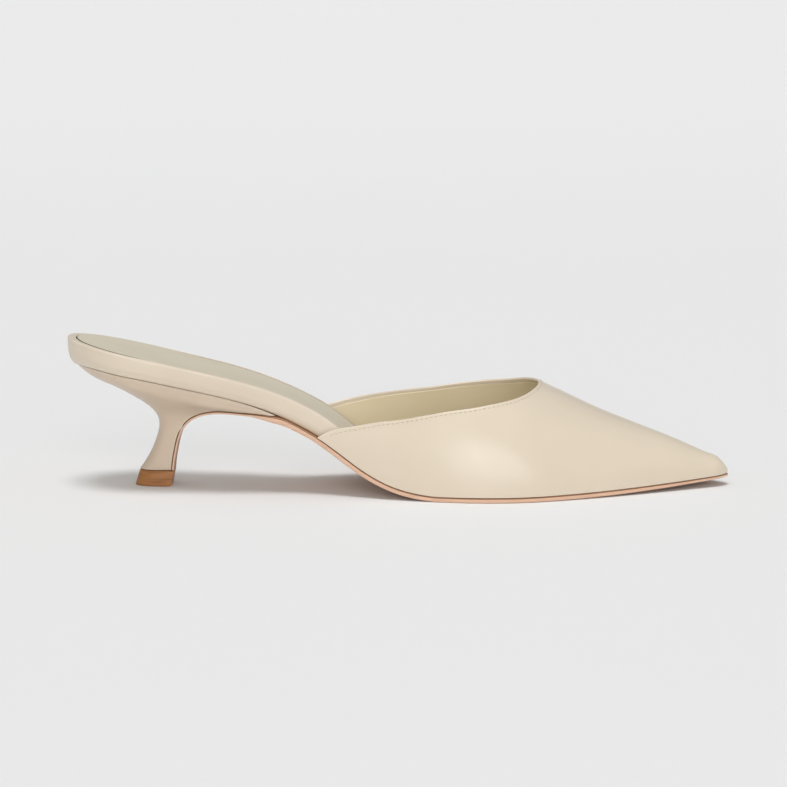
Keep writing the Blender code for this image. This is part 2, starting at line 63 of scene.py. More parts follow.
# The pieces
CLEARANCE = 0.0003
UPPER_WALL = 0.0016
SIDE_BULGE = 0.0010
RIDGE_SHIFT = 0.0020
SOLE_THICKNESS = 0.0018
SOLE_MARGIN = 0.0003
FOOTBED_EDGE = 0.0073
EDGE_ROUND = 0.0018
BACK_TUCK = 2.0  # how many times further the edge turns under at the back of the heel
EDGE_RISE = 0.40  # share of the edge's height that its lower round takes
BACK_RISE = 0.70  # the same at the back of the heel
BORDER_ROUND = 0.8  # the upper round, as a share of the lower one
BORDER_FLAT = 0.55  # how high the upper round is, as a share of its width
RIM_WIDTH = 0.0016
RIM_BACK = 0.0019  # how much wider the border is at the back of the heel
RIM_LIP = 0.0002  # the round from the border down to the sock
SOCK_THICKNESS = 0.0008
SOCK_SUNK = 0.0003
SOCK_JOINT = 0.0004  # between the sock's edge and the border
SOCK_PROUD = 0.00018  # at the back the sock stands above the border
SOCK_EDGE_ROUND = 0.0003
TIP_HEIGHT = 0.0062
TIP_WIDTH = 0.0118
TIP_BACK = 0.0278
TIP_LENGTH = 0.0139
TIP_SPREAD = 1.05
TIP_LEAN = 0.0020
BREAST_FLAP = 0.0009

# Places along the last, as shares of its length
THROAT = 0.7122
TREAD_BACK = 0.56
TREAD_FRONT = 0.66
FOOTBED_FRONT = 0.935
WING_TIP = 0.316
WAIST_JOIN = 0.352
MARGIN_FROM = 0.44
TAPER_FROM = 0.78
TOE_TAPER = 0.5
FLAP_BLEND = 0.18
SEAT_BOW = 0.6
WING_BOW = 0.05

# Section of the upper
SIDE_UPRIGHT = 0.62
CROWN = 0.55
NOSE_ROUND = 0.85
NOSE_FULLNESS = 0.8

# What only the looks need
FOLD_HEIGHT = 0.00045  # how far the folded topline rounds over, above the cut of the leather
LEATHER = 0.0011  # the vamp's leather, turned in at the topline
TOE_THINNING = 0.014  # length over which the leather thins out towards the toe tip
LINING = 0.0004
LINING_BELOW = 0.0016  # the lining stops this far below the topline
LINING_SHORT = 0.010  # and this far behind the toe tip
LINING_LIFT = 0.00004  # between the lining and the leather
LINING_FOLD = 0.0002
STITCH_BELOW = 0.0012  # the row of stitches, below the topline
STITCH_PITCH = 0.0019
STITCH_LENGTH = 0.0013
STITCH_RADIUS = 0.00014
STITCH_ENDS = 0.004  # the row starts and stops this far from the topline's ends
STITCH_SIDES = 6
STITCH_RINGS = 5
SOCK_DISH = 0.0003  # how far the sock dips across its middle
HEEL_TURN_IN = 0.00035  # the heel's leather turns in this far at the seat and above the tip
TURN_IN_OVER = 0.012  # over this share of the heel's height
TIP_EASED = 0.00035  # the top-piece's cut edges are eased by this much
EDGE_INK_AND_SHADE = 0.16  # share of the sole's edge, from the top, that is dark: partly ink, partly painted shade of the joint under the upper
SOLE_EDGE_ROUND = 0.0008
SOLE_ROUND_FROM = 0.62  # the share of the sole's thickness at which that round starts
SOLE_TOP_EASED = 0.00012


def table(columns, *rows):
    """A short table as a dictionary of its named columns."""
    return dict(zip(columns.split(), np.array(rows, float).T))


ARCH = table(
    "along rise",
    (0.000, 1.000),
    (0.020, 1.014),
    (0.045, 1.0065),
    (0.080, 0.969),
    (0.120, 0.924),
    (0.160, 0.876),
    (0.200, 0.828),
    (0.250, 0.762),
    (0.300, 0.670),
    (0.350, 0.538),
    (0.375, 0.4605),
    (0.400, 0.3673),
    (0.425, 0.2656),
    (0.450, 0.171),
    (0.475, 0.0978),
    (0.500, 0.0473),
    (0.525, 0.0172),
    (TREAD_BACK, 0.000),
)
OUTLINE = table(
    "along ball lateral medial",
    (0.00, 0.00, 0.985, 0.860),
    (0.10, 0.00, 1.000, 0.815),
    (0.16, 0.00, 1.000, 0.745),
    (0.22, 0.00, 1.000, 0.655),
    (0.28, 0.02, 0.985, 0.560),
    (0.34, 0.10, 0.947, 0.510),
    (0.39, 0.30, 0.900, 0.500),
    (0.44, 0.50, 0.925, 0.580),
    (0.50, 0.75, 0.980, 0.704),
    (0.57, 1.00, 1.010, 0.810),
    (0.64, 1.00, 1.051, 0.938),
    (0.70, 1.00, 0.997, 0.949),
    (0.75, 1.00, 0.887, 0.877),
    (0.80, 1.00, 0.756, 0.767),
    (0.86, 1.00, 0.572, 0.592),
    (0.92, 1.00, 0.374, 0.395),
    (0.96, 1.00, 0.236, 0.251),
    (1.00, 1.00, 0.100, 0.105),
)
RIDGE = table(
    "along rise",
    (0.350, 0.900),
    (0.400, 1.110),
    (0.450, 1.325),
    (0.500, 1.432),
    (0.550, 1.4325),
    (0.600, 1.347),
    (0.650, 1.222),
    (THROAT, 1.000),
    (0.745, 0.893),
    (0.775, 0.794),
    (0.805, 0.698),
    (0.835, 0.611),
    (0.865, 0.527),
    (0.895, 0.4437),
    (0.925, 0.3547),
    (0.955, 0.256),
    (0.975, 0.198),
    (1.000, 0.150),
)
LATERAL_TOPLINE = table(
    "along rise",
    (0.377, 0.000),
    (0.392, 0.115),
    (0.408, 0.206),
    (0.430, 0.295),
    (0.460, 0.393),
    (0.500, 0.474),
    (0.550, 0.556),
    (0.600, 0.630),
    (0.640, 0.711),
    (0.670, 0.798),
    (0.690, 0.882),
    (THROAT, 1.000),
)
MEDIAL_TOPLINE = table(
    "along rise",
    (0.355, 0.000),
    (0.370, 0.105),
    (0.385, 0.194),
    (0.408, 0.307),
    (0.455, 0.460),
    (0.500, 0.538),
    (0.548, 0.590),
    (0.595, 0.654),
    (0.641, 0.739),
    (0.672, 0.827),
    (0.695, 0.925),
    (THROAT, 1.000),
)
FOOTBED = table(
    "along thick tuck",
    (0.00, 1.60, 0.00),
    (0.02, 1.35, 0.00),
    (0.045, 1.19, 0.00),
    (0.08, 1.14, 0.00),
    (0.12, 1.12, 0.00),
    (0.16, 1.11, 0.00),
    (0.26, 1.09, 0.00),
    (0.30, 1.10, 0.55),
    (0.34, 1.13, 1.00),
    (0.40, 1.02, 1.02),
    (0.44, 0.80, 1.05),
    (0.48, 0.57, 1.05),
    (0.54, 0.42, 1.05),
    (0.70, 0.38, 1.10),
    (0.84, 0.37, 1.50),
    (0.935, 0.36, 2.10),
)
HEEL_BACK = table(
    "along rise",
    (0.0321, 0.928),
    (0.0622, 0.849),
    (0.0920, 0.766),
    (0.1073, 0.717),
    (0.1210, 0.663),
    (0.1313, 0.602),
    (0.1357, 0.543),
    (0.1361, 0.494),
    (0.1336, 0.430),
    (0.1294, 0.359),
    (0.1240, 0.291),
    (0.1160, 0.212),
)
HEEL_BREAST = table(
    "along rise",
    (0.3378, 0.592),
    (0.3225, 0.624),
    (0.3053, 0.640),
    (0.2824, 0.651),
    (0.2595, 0.656),
    (0.2328, 0.657),
    (0.2122, 0.640),
    (0.1977, 0.613),
    (0.1832, 0.565),
    (0.1737, 0.508),
    (0.1660, 0.423),
    (0.1601, 0.297),
    (0.1576, 0.223),
)
SOLE = table(
    "place thick",
    (0.00, 0.50),
    (0.10, 0.50),
    (0.145, 0.47),
    (0.18, 0.44),
    (0.20, 0.54),
    (0.215, 0.86),
    (0.235, 1.30),
    (0.25, 1.38),
    (0.28, 1.18),
    (0.33, 1.14),
    (0.39, 1.05),
    (0.45, 1.00),
)
HEEL = table(
    "back breast body lateral medial seat round",
    (0.00, 0.00, 1.00, 0.955, 0.510, 1.00, 0.45),
    (0.19, 0.16, 0.89, 0.900, 0.530, 0.72, 0.45),
    (0.38, 0.36, 0.70, 0.730, 0.520, 0.38, 0.48),
    (0.52, 0.53, 0.51, 0.500, 0.440, 0.14, 0.52),
    (0.63, 0.66, 0.36, 0.350, 0.330, 0.03, 0.58),
    (0.76, 0.79, 0.27, 0.260, 0.260, 0.00, 0.62),
    (0.88, 0.90, 0.240, 0.232, 0.232, 0.00, 0.64),
    (1.00, 1.00, 0.236, 0.228, 0.228, 0.00, 0.64),
)

# How finely each piece is stepped
WING_COLUMNS = 90
TOE_COLUMNS = 56
VAMP_ROWS = 34
THROAT_CROWDING = 1.5
TOE_CROWDING = 1.7
LEVEL_FROM, LEVEL_FULL = 0.72, 0.90
FOLD_STEPS = 8
LINING_COLUMNS, LINING_TOE_COLUMNS, LINING_ROWS = 70, 30, 24
FOOTBED_STATIONS = 150
SOCK_STRIPS = 14
HEEL_ROWS = 60
SEAT_CROWDING = 1.4
HEEL_STEPS = 32
SOLE_STATIONS = 115  # on the arch and as many again ahead of it
ROUND_STEPS = 6


def run_along(points):
    """How far along a line each of its points lies."""
    return np.concatenate([[0.0], np.cumsum(np.linalg.norm(np.diff(points, axis=0), axis=1))])


def smooth_step(share):
    """The same share, with a level start and end."""
    return share**2 * (3 - 2 * share)


def crowded_ends(count):
    """Shares from 0 to 1 that lie closer together at both ends."""
    return (1 - np.cos(np.linspace(0, math.pi, count))) / 2


def quarter(steps):
    """The angles of a quarter turn."""
    return np.linspace(0, math.pi / 2, steps)


class Smooth:
    """A cubic curve through a table's points, with continuous curvature and straight ends."""

    def __init__(self, at, values, flat_end=False):
        self.at = np.asarray(at, float)
        self.values = np.asarray(values, float)
        self.step = np.diff(self.at)
        count = len(self.at)
        rows = np.zeros((count, count))
        right = np.zeros(count)
        rows[0, 0] = rows[-1, -1] = 1.0
        slope = np.diff(self.values) / self.step
        for i in range(1, count - 1):
            rows[i, i - 1 : i + 2] = self.step[i - 1], 2 * (self.step[i - 1] + self.step[i]), self.step[i]
            right[i] = 6 * (slope[i] - slope[i - 1])
        if flat_end:
            rows[-1, -2:] = self.step[-1], 2 * self.step[-1]
            right[-1] = -6 * slope[-1]
        self.bend = np.linalg.solve(rows, right)

    def parts(self, x):
        x = np.clip(np.asarray(x, float), self.at[0], self.at[-1])
        i = np.clip(np.searchsorted(self.at, x) - 1, 0, len(self.step) - 1)
        step = self.step[i]
        before = x - self.at[i]
        low = self.values[i] / step - self.bend[i] * step / 6
        high = self.values[i + 1] / step - self.bend[i + 1] * step / 6
        return i, step, before, step - before, low, high

    def __call__(self, x):
        i, step, before, after, low, high = self.parts(x)
        cubes = self.bend[i] * after**3 + self.bend[i + 1] * before**3
        return cubes / (6 * step) + low * after + high * before

    def slope(self, x):
        i, step, before, after, low, high = self.parts(x)
        squares = self.bend[i + 1] * before**2 - self.bend[i] * after**2
        return squares / (2 * step) - low + high


class Path:
    """A smooth curve in the side view, through points, measured along its own length."""

    def __init__(self, points):
        points = np.asarray(points, float)
        at = run_along(points)
        self.length = at[-1]
        self.x = Smooth(at, points[:, 0])
        self.z = Smooth(at, points[:, 1])

    def point(self, share, offset=0.0):
        """The points at shares of the length, moved to the right of the way along it."""
        s = np.asarray(share, float) * self.length
        dx, dz = self.x.slope(s), self.z.slope(s)
        size = np.hypot(dx, dz)
        return self.x(s) + offset * dz / size, self.z(s) - offset * dx / size


def closing(x, start, end, start_round, end_round):
    """The factor that closes an outline in a round at each end."""
    back = 1 - np.clip((x - start) / start_round, 0, 1)
    front = 1 - np.clip((end - x) / end_round, 0, 1)
    return np.sqrt(np.clip(1 - back**2, 0, 1)) * np.sqrt(np.clip(1 - front**2, 0, 1))


arch_rise = Smooth(ARCH["along"], ARCH["rise"], flat_end=True)
ball_share = Smooth(OUTLINE["along"], OUTLINE["ball"])
lateral_share = Smooth(OUTLINE["along"], OUTLINE["lateral"])
medial_share = Smooth(OUTLINE["along"], OUTLINE["medial"])
ridge_share = Smooth(RIDGE["along"], RIDGE["rise"])
footbed_thick = Smooth(FOOTBED["along"], FOOTBED["thick"])
footbed_tuck = Smooth(FOOTBED["along"], FOOTBED["tuck"])
toplines = {
    -1: Smooth(LATERAL_TOPLINE["along"], LATERAL_TOPLINE["rise"]),
    1: Smooth(MEDIAL_TOPLINE["along"], MEDIAL_TOPLINE["rise"]),
}


def sole_line(x):
    """Height of the line where the sole meets the footbed and the upper."""
    u = np.asarray(x, float) / LENGTH
    arch = np.where(u < TREAD_BACK, arch_rise(u), 0.0)
    spring = np.clip((u - TREAD_FRONT) / (1 - TREAD_FRONT), 0, None) ** 2
    return SOLE_THICKNESS + (HEEL_HEIGHT - SOLE_THICKNESS) * arch + TOE_SPRING * spring


def sole_slope(x):
    """Slope of that line in the side view."""
    u = np.asarray(x, float) / LENGTH
    arch = np.where(u < TREAD_BACK, arch_rise.slope(u), 0.0)
    spring = 2 * np.clip((u - TREAD_FRONT) / (1 - TREAD_FRONT), 0, None) / (1 - TREAD_FRONT)
    return ((HEEL_HEIGHT - SOLE_THICKNESS) * arch + TOE_SPRING * spring) / LENGTH


def open_width(x, side):
    """Half-width of the sole line before the rounds at its ends."""
    u = np.asarray(x, float) / LENGTH
    unit = (SEAT_WIDTH + (BALL_WIDTH - SEAT_WIDTH) * ball_share(u)) / 2
    return unit * (lateral_share(u) if side < 0 else medial_share(u))


def sole_width(x, side):
    """Half-width of the sole line on one side, -1 for lateral and 1 for medial."""
    return open_width(x, side) * closing(x, 0.0, LENGTH, SEAT_ROUND, TOE_ROUND)


def vamp_unit():
    """Rise of the ridge above the sole line at the throat."""
    return VAMP_HEIGHT - sole_line(THROAT * LENGTH)


def ridge_rise(x):
    """Rise of the upper's ridge above the sole line, closing at the toe tip."""
    near_tip = 1 - np.clip((LENGTH - x) / TOE_ROUND, 0, 1)
    return vamp_unit() * ridge_share(x / LENGTH) * (1 - NOSE_ROUND * near_tip**2) ** NOSE_FULLNESS


def ridge_side(x):
    """How far the ridge lies towards the inner side: less and less towards the toe."""
    ahead = np.clip((x / LENGTH - THROAT) / (1 - THROAT), 0, 1)
    return RIDGE_SHIFT * (1 - ahead**2)


def on_section(x, side, t):
    """Points of the upper's surface at x, where t goes from 0 at the sole to 1 at the ridge."""
    width = sole_width(x, side)
    mean = (sole_width(x, -1) + sole_width(x, 1)) / 2
    rise = ridge_rise(x)
    shift = side * ridge_side(x)
    bulge = SIDE_BULGE * np.clip(width / (BALL_WIDTH / 2), 0, 1)
    foot, wall, crown, top = (1 - t) ** 3, 3 * t * (1 - t) ** 2, 3 * t**2 * (1 - t), t**3
    y = foot * width + wall * (width + bulge) + crown * (shift + CROWN * mean) + top * shift
    z = rise * (wall * SIDE_UPRIGHT + crown + top)
    return np.stack([x + 0 * t, side * y, sole_line(x) + CLEARANCE + z], axis=-1)


def unit(vectors):
    return vectors / np.maximum(np.linalg.norm(vectors, axis=-1, keepdims=True), 1e-12)


def section_normal(x, side, t):
    """Outward normal of the upper's surface."""
    dx, dt = 2e-5, 1e-3
    x = np.minimum(x, LENGTH - 3 * dx)
    along = on_section(x + dx, side, t) - on_section(x - dx, side, t)
    up = on_section(x, side, np.minimum(t + dt, 1.0)) - on_section(x, side, np.maximum(t - dt, 0.0))
    return unit(np.cross(up, along) if side > 0 else np.cross(along, up))


def section_share(rise_share):
    """The t at which a section has risen to this share of its ridge."""
    low = np.zeros_like(rise_share)
    high = np.ones_like(rise_share)
    halvings = 40
    for _ in range(halvings):
        t = (low + high) / 2
        risen = 3 * t * (1 - t) ** 2 * SIDE_UPRIGHT + 3 * t**2 * (1 - t) + t**3
        low = np.where(risen < rise_share, t, low)
        high = np.where(risen < rise_share, high, t)
    return (low + high) / 2


def place(points):
    """Carries points from the last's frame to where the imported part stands."""
    low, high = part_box("top_piece")
    shift = np.array([low.x - (TIP_BACK - TIP_LEAN), (low.y + high.y) / 2, low.z])
    return np.asarray(points, float).reshape(-1, 3) + shift


def add_object(name, data):
    obj = bpy.data.objects.new(name, data)
    bpy.context.scene.collection.objects.link(obj)
    return obj


def piece(name, points, faces, materials, replaces=None, sharp=50, bands=None):
    """One finished piece: its mesh, shading, materials, the body it rides on and the node it stands for."""
    mesh = bpy.data.meshes.new(name)
    mesh.from_pydata([tuple(p) for p in place(points)], [], faces)
    for made in materials:
        mesh.materials.append(made)
    if bands is not None:
        mesh.polygons.foreach_set("material_index", bands)
    build = bmesh.new()
    build.from_mesh(mesh)
    bmesh.ops.remove_doubles(build, verts=build.verts, dist=2e-6)
    bmesh.ops.dissolve_degenerate(build, edges=build.edges, dist=1e-7)
    bmesh.ops.recalc_face_normals(build, faces=build.faces)
    build.to_mesh(mesh)
    build.free()
    mesh.shade_smooth()
    mesh.set_sharp_from_angle(angle=math.radians(sharp))
    obj = add_object(name, mesh)
    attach(obj, "root")
    if replaces:
        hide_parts(replaces)
    return obj


def grid_faces(rows, columns, start=0):
    """Quads of a grid whose points are numbered row by row."""
    faces = []
    for i in range(rows - 1):
        for j in range(columns - 1):
            a = start + i * columns + j
            faces.append((a, a + columns, a + columns + 1, a + 1))
    return faces


def ring_faces(rings, size, last_cap=True):
    """Faces between rings of equal size, with a ladder across the first and, if wanted, the last ring."""
    faces = []
    for ring in range(rings - 1):
        for i in range(size):
            j = (i + 1) % size
            faces.append((ring * size + i, ring * size + j, (ring + 1) * size + j, (ring + 1) * size + i))
    caps = [0, (rings - 1) * size] if last_cap else [0]
    for start in caps:
        for i in range(size // 2 - 1):
            far = size - 1 - i
            faces.append((start + i, start + i + 1, start + far - 1, start + far))
    return faces


def both_sides(x, lateral, medial, z):
    """One ring: along the lateral side and back along the medial side."""
    there = np.stack([x, -lateral, z], axis=1)
    back = np.stack([x, medial, z], axis=1)[::-1]
    return np.concatenate([there, back])


# Finishes: scales are in turns per metre, and the grain's own scale and depth come with each leather

DRIFT_SCALE = 26.0  # the slow drift of colour
SWELL_SCALE = 420.0  # the soft unevenness under the grain
SWELL_HEIGHT = 1.5  # as a share of the grain's depth
CREASE_WIDTH = 0.16  # as a share of a grain cell
LAYER_STRETCH = (0.07, 0.07, 1.0)  # makes the stack's lines long and level
LAYER_RELIEF = 0.00006


def group_tree(name, inputs, outputs):
    """An empty node group with named inputs (name, kind, value) and outputs (name, kind)."""
    tree = bpy.data.node_groups.new(name, "ShaderNodeTree")
    for label, kind, value in inputs:
        socket = tree.interface.new_socket(name=label, in_out="INPUT", socket_type="NodeSocket" + kind)
        socket.default_value = value
    for label, kind in outputs:
        tree.interface.new_socket(name=label, in_out="OUTPUT", socket_type="NodeSocket" + kind)
    return tree, tree.nodes.new("NodeGroupInput"), tree.nodes.new("NodeGroupOutput")


def noise(tree, coordinates, scale, detail=2.0, roughness=0.5):
    node = tree.nodes.new("ShaderNodeTexNoise")
    node.inputs["Scale"].default_value = scale
    node.inputs["Detail"].default_value = detail
    node.inputs["Roughness"].default_value = roughness
    tree.links.new(coordinates, node.inputs["Vector"])
    return node.outputs["Fac"]


def arithmetic(tree, operation, first, second):
    """A Math node on two values or sockets."""
    node = tree.nodes.new("ShaderNodeMath")
    node.operation = operation
    for socket, value in zip(node.inputs, (first, second)):
        if isinstance(value, (int, float)):
            socket.default_value = value
        else:
            tree.links.new(value, socket)
    return node.outputs["Value"]


def blend_colors(tree, share, first, second):
    node = tree.nodes.new("ShaderNodeMix")
    node.data_type = "RGBA"
    tree.links.new(share, node.inputs["Factor"])
    for socket, value in ((node.inputs["A"], first), (node.inputs["B"], second)):
        if isinstance(value, tuple):
            socket.default_value = value
        else:
            tree.links.new(value, socket)
    return node.outputs["Result"]


def value_range(tree, value, low, high, to_low, to_high):
    """Maps a value's range smoothly onto another."""
    node = tree.nodes.new("ShaderNodeMapRange")
    node.interpolation_type = "SMOOTHSTEP"
    limits = {"From Min": low, "From Max": high, "To Min": to_low, "To Max": to_high}
    for label, limit in limits.items():
        if isinstance(limit, (int, float)):
            node.inputs[label].default_value = limit
        else:
            tree.links.new(limit, node.inputs[label])
    tree.links.new(value, node.inputs["Value"])
    return node.outputs["Result"]


def leather_skin():
    """Finished leather: a slow drift of colour, a fine grain, and gloss that varies a little with the soft
    unevenness under the grain.
    """
    tree, given, made = group_tree(
        "leather_skin",
        [
            ("Colour", "Color", (0.7, 0.6, 0.5, 1)),
            ("Drift Colour", "Color", (0.65, 0.55, 0.45, 1)),
            ("Grain Scale", "Float", 1800.0),
            ("Grain Depth", "Float", 0.00002),
            ("Roughness", "Float", 0.3),
            ("Roughness Spread", "Float", 0.06),
        ],
        [("Colour", "Color"), ("Roughness", "Float"), ("Normal", "Vector")],
    )
    spot = tree.nodes.new("ShaderNodeTexCoord").outputs["Object"]
    drift = value_range(tree, noise(tree, spot, DRIFT_SCALE, 3.0), 0.35, 0.7, 0.0, 1.0)
    colour = blend_colors(tree, drift, given.outputs["Colour"], given.outputs["Drift Colour"])
    pores = tree.nodes.new("ShaderNodeTexVoronoi")
    pores.feature = "DISTANCE_TO_EDGE"
    tree.links.new(spot, pores.inputs["Vector"])
    tree.links.new(given.outputs["Grain Scale"], pores.inputs["Scale"])
    creases = value_range(tree, pores.outputs["Distance"], 0.0, CREASE_WIDTH, 0.0, 1.0)
    soft = noise(tree, spot, SWELL_SCALE, 3.0)
    height = arithmetic(tree, "ADD", creases, arithmetic(tree, "MULTIPLY", soft, SWELL_HEIGHT))
    relief = tree.nodes.new("ShaderNodeBump")
    relief.inputs["Strength"].default_value = 1.0
    tree.links.new(given.outputs["Grain Depth"], relief.inputs["Distance"])
    tree.links.new(height, relief.inputs["Height"])
    about_zero = arithmetic(tree, "SUBTRACT", soft, 0.5)
    spread = arithmetic(tree, "MULTIPLY", about_zero, given.outputs["Roughness Spread"])
    roughness = arithmetic(tree, "ADD", given.outputs["Roughness"], spread)
    tree.links.new(colour, made.inputs["Colour"])
    tree.links.new(roughness, made.inputs["Roughness"])
    tree.links.new(relief.outputs["Normal"], made.inputs["Normal"])
    return tree


def layered_stack():
    """Cut layers, one over another: fine level lines that vary in strength."""
    tree, given, made = group_tree(
        "layered_stack",
        [
            ("Colour", "Color", (0.3, 0.17, 0.08, 1)),
            ("Line Colour", "Color", (0.15, 0.08, 0.04, 1)),
            ("Layer Scale", "Float", 900.0),
            ("Line Strength", "Float", 0.6),
            ("Roughness", "Float", 0.5),
        ],
        [("Colour", "Color"), ("Roughness", "Float"), ("Normal", "Vector")],
    )
    spot = tree.nodes.new("ShaderNodeTexCoord").outputs["Object"]
    stretch = tree.nodes.new("ShaderNodeMapping")
    stretch.inputs["Scale"].default_value = LAYER_STRETCH
    tree.links.new(spot, stretch.inputs["Vector"])
    layers = tree.nodes.new("ShaderNodeTexNoise")
    layers.inputs["Detail"].default_value = 4.0
    layers.inputs["Roughness"].default_value = 0.65
    tree.links.new(given.outputs["Layer Scale"], layers.inputs["Scale"])
    tree.links.new(stretch.outputs["Vector"], layers.inputs["Vector"])
    lines = value_range(tree, layers.outputs["Fac"], 0.42, 0.66, 0.0, 1.0)
    share = arithmetic(tree, "MULTIPLY", lines, given.outputs["Line Strength"])
    colour = blend_colors(tree, share, given.outputs["Colour"], given.outputs["Line Colour"])
    relief = tree.nodes.new("ShaderNodeBump")
    relief.inputs["Strength"].default_value = 0.6
    relief.inputs["Distance"].default_value = LAYER_RELIEF
    tree.links.new(layers.outputs["Fac"], relief.inputs["Height"])
    roughness = arithmetic(tree, "ADD", given.outputs["Roughness"], arithmetic(tree, "MULTIPLY", lines, 0.12))
    tree.links.new(colour, made.inputs["Colour"])
    tree.links.new(roughness, made.inputs["Roughness"])
    tree.links.new(relief.outputs["Normal"], made.inputs["Normal"])
    return tree


def finish(name, group, values, coat=0.0, coat_roughness=0.1, sheen=0.0):
    """A material with its colour, roughness and relief from a group, and constant gloss on the shader."""
    made = bpy.data.materials.new(name)
    made.use_nodes = True
    tree = made.node_tree
    shader = tree.nodes["Principled BSDF"]
    skin = tree.nodes.new("ShaderNodeGroup")
    skin.node_tree = group
    for label, value in values.items():
        skin.inputs[label].default_value = value
    tree.links.new(skin.outputs["Colour"], shader.inputs["Base Color"])
    tree.links.new(skin.outputs["Roughness"], shader.inputs["Roughness"])
    tree.links.new(skin.outputs["Normal"], shader.inputs["Normal"])
    shader.inputs["Coat Weight"].default_value = coat
    shader.inputs["Coat Roughness"].default_value = coat_roughness
    shader.inputs["Sheen Weight"].default_value = sheen
    return made


def srgb(red, green, blue):
    """A colour given as the eye sees it, from 0 to 255, in the linear values the shader takes."""
    share = np.array([red, green, blue]) / 255
    linear = np.where(share <= 0.04045, share / 12.92, ((share + 0.055) / 1.055) ** 2.4)
    return (*[float(c) for c in linear], 1.0)


SKIN = leather_skin()
STACK = layered_stack()


def leather(name, colour, drift, grain, depth, rough, spread, **gloss):
    """A leather: its two colours, its grain's scale and depth, and its roughness with the spread of it."""
    values = {
        "Colour": srgb(*colour),
        "Drift Colour": srgb(*drift),
        "Grain Scale": grain,
        "Grain Depth": depth,
        "Roughness": rough,
        "Roughness Spread": spread,
    }
    return finish(name, SKIN, values, **gloss)


def stack(name, colour, line, layers, strength, rough):
    """A cut edge of layers: its two colours, how fine the lines are, how strong, and its roughness."""
    values = {
        "Colour": srgb(*colour),
        "Line Colour": srgb(*line),
        "Layer Scale": layers,
        "Line Strength": strength,
        "Roughness": rough,
    }
    return finish(name, STACK, values)


VAMP_LEATHER = leather(
    "glossed_cream_leather",
    (222, 208, 187),
    (219, 205, 183),
    grain=2300.0,
    depth=0.000006,
    rough=0.34,
    spread=0.05,
    coat=0.35,
    coat_roughness=0.16,
)
BAND_LEATHER = leather(
    "cream_leather_band",
    (220, 206, 186),
    (214, 199, 178),
    grain=2100.0,
    depth=0.000012,
    rough=0.38,
    spread=0.06,
    coat=0.25,
    coat_roughness=0.2,
)
HEEL_LEATHER = leather(
    "cream_heel_cover",
    (212, 194, 173),
    (205, 186, 164),
    grain=2100.0,
    depth=0.000012,
    rough=0.42,
    spread=0.06,
    coat=0.15,
    coat_roughness=0.25,
)
LINING_LEATHER = leather(
    "khaki_lining",
    (237, 223, 191),
    (231, 217, 183),
    grain=1500.0,
    depth=0.00002,
    rough=0.62,
    spread=0.08,
)
SOCK_LEATHER = leather(
    "matte_sock",
    (212, 203, 182),
    (206, 197, 174),
    grain=1400.0,
    depth=0.00002,
    rough=0.6,
    spread=0.08,
    sheen=0.05,
)
# Painted shade: a dark colour that stands in for the shadow in the groove round the sock.
PAINTED_JOINT_SHADE = leather(
    "painted_shade_round_the_sock",
    (98, 90, 72),
    (84, 76, 60),
    grain=2100.0,
    depth=0.000012,
    rough=0.7,
    spread=0.05,
)
THREAD = leather(
    "cream_thread",
    (205, 188, 162),
    (196, 178, 150),
    grain=5000.0,
    depth=0.00003,
    rough=0.55,
    spread=0.05,
)
SOLE_FACE = leather(
    "buffed_sole_leather",
    (186, 146, 112),
    (172, 130, 96),
    grain=900.0,
    depth=0.00004,
    rough=0.58,
    spread=0.12,
)
SOLE_EDGE = stack(
    "pale_sole_edge",
    (224, 186, 158),
    (202, 160, 132),
    layers=1500.0,
    strength=0.45,
    rough=0.45,
)
# Partly ink and partly painted shade: this dark line also stands in for the shadow of the joint under the
# upper.
SOLE_INK_AND_SHADE = stack(
    "ink_and_painted_shade_line",
    (148, 104, 76),
    (120, 82, 58),
    layers=1500.0,
    strength=0.5,
    rough=0.45,
)
TIP_STACK = stack(
    "brown_tip_stack",
    (168, 112, 60),
    (120, 76, 40),
    layers=1300.0,
    strength=0.55,
    rough=0.5,
)


# The vamp


TOPLINE_DROP = 0.75  # how much of an inset lowers the topline, on the wings
DROP_EASE = 6  # how late that ends towards the throat
SEARCH_STEPS = 600


def topline_rise(side, x, inset):
    """Share of the ridge's rise that the topline reaches, lowered by an inset along the leather."""
    share = toplines[side](x / LENGTH - inset / LENGTH)
    return share - TOPLINE_DROP * inset / ridge_rise(x) * (1 - np.clip(share, 0, 1) ** DROP_EASE)


def vamp_columns(side, inset, wing_columns, toe_columns, toe_end):
    """Stations of one half of the vamp, and how high its section goes at each."""
    first = toplines[side].at[0] * LENGTH
    throat = THROAT * LENGTH + inset
    search = np.linspace(first, throat, SEARCH_STEPS)
    start = search[np.argmax(topline_rise(side, search, inset) > 0)]
    t = np.linspace(0, 1, wing_columns + 1)
    wing = throat - (throat - start) * (1 - t) ** THROAT_CROWDING
    left = np.linspace(1, 0, toe_columns + 1)[1:]
    toe = toe_end - (toe_end - throat) * left**TOE_CROWDING
    top = section_share(np.clip(topline_rise(side, wing, inset), 0, 1))
    top[-1] = 1.0
    return np.concatenate([wing, toe]), np.concatenate([top, np.ones(toe_columns)])


def vamp_half(side, inset, counts=(WING_COLUMNS, TOE_COLUMNS, VAMP_ROWS), toe_end=LENGTH):
    """Points and outward normals of one half of the vamp's outer face, station by station."""
    stations, tops = vamp_columns(side, inset, counts[0], counts[1], toe_end)
    row = np.linspace(0, 1, counts[2] + 1)
    points, normals = [], []
    for x, top in zip(stations, tops):
        level = np.clip((top - LEVEL_FROM) / (LEVEL_FULL - LEVEL_FROM), 0, 1)
        t = row * top + (1 - top) * level * (row - row**4)
        points.append(on_section(x, side, t))
        normals.append(section_normal(x, side, t))
    return np.array(points), np.array(normals)


def wall_depth(points, depth):
    """A depth inside the leather that thins out where the toe closes to its tip."""
    thinnest = 0.03
    return depth * np.clip((LENGTH - points[..., :1]) / TOE_THINNING, thinnest, 1)


